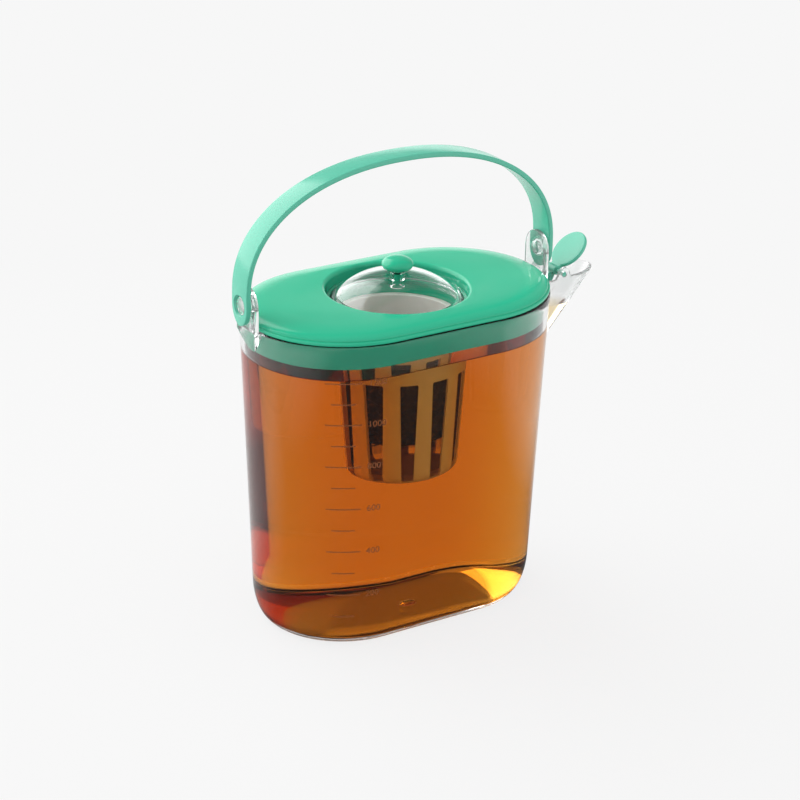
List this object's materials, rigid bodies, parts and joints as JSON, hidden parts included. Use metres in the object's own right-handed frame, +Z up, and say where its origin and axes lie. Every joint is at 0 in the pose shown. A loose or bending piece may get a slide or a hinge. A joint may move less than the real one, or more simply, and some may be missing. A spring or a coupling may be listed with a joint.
{
  "type": "iced tea maker",
  "caption": "Clear flat-sided jug with a pouring spout and flap, swing handle, lift-off lid, hanging infuser and clear domed cover with a knob.",
  "frame": {"origin": "middle of the jug's foot, on the surface that it stands on", "axes": "+Z up, +X towards the spout, +Y across the narrow side"},
  "size_m": [0.1872, 0.0914, 0.2186],
  "materials": {
    "clear_plastic": "clear, glossy",
    "green_plastic": "satin",
    "infuser_plastic": "translucent, satin",
    "infuser_mesh": "fine woven mesh"
  },
  "bodies": {
    "jug": {"jug_body": "clear_plastic"},
    "handle": {"handle": "green_plastic"},
    "flap": {"spout_flap": "green_plastic"},
    "lid": {"lid": "green_plastic"},
    "infuser": {"infuser_basket": "infuser_plastic", "infuser_mesh": "infuser_mesh"},
    "cover": {"dome_lid": "clear_plastic", "knob": "green_plastic"}
  },
  "joints": [
    {"name": "handle_swing", "type": "hinge", "parent": "jug", "child": "handle", "pos_m": [0, 0, 0.1611], "axis": [1, 0, 0], "range_deg": [-110, 110]},
    {"name": "flap_hinge", "type": "hinge", "parent": "jug", "child": "flap", "pos_m": [0.086, 0, 0.1486], "axis": [0, 1, 0], "range_deg": [-40, 39.5]},
    {"name": "lid_lift", "type": "slide", "parent": "jug", "child": "lid", "axis": [0, 0, 1], "range_m": [0, 0.02]},
    {"name": "infuser_lift", "type": "slide", "parent": "lid", "child": "infuser", "axis": [0, 0, 1], "range_m": [0, 0.04]},
    {"name": "cover_lift", "type": "slide", "parent": "infuser", "child": "cover", "axis": [0, 0, 1], "range_m": [0, 0.03]}
  ]
}
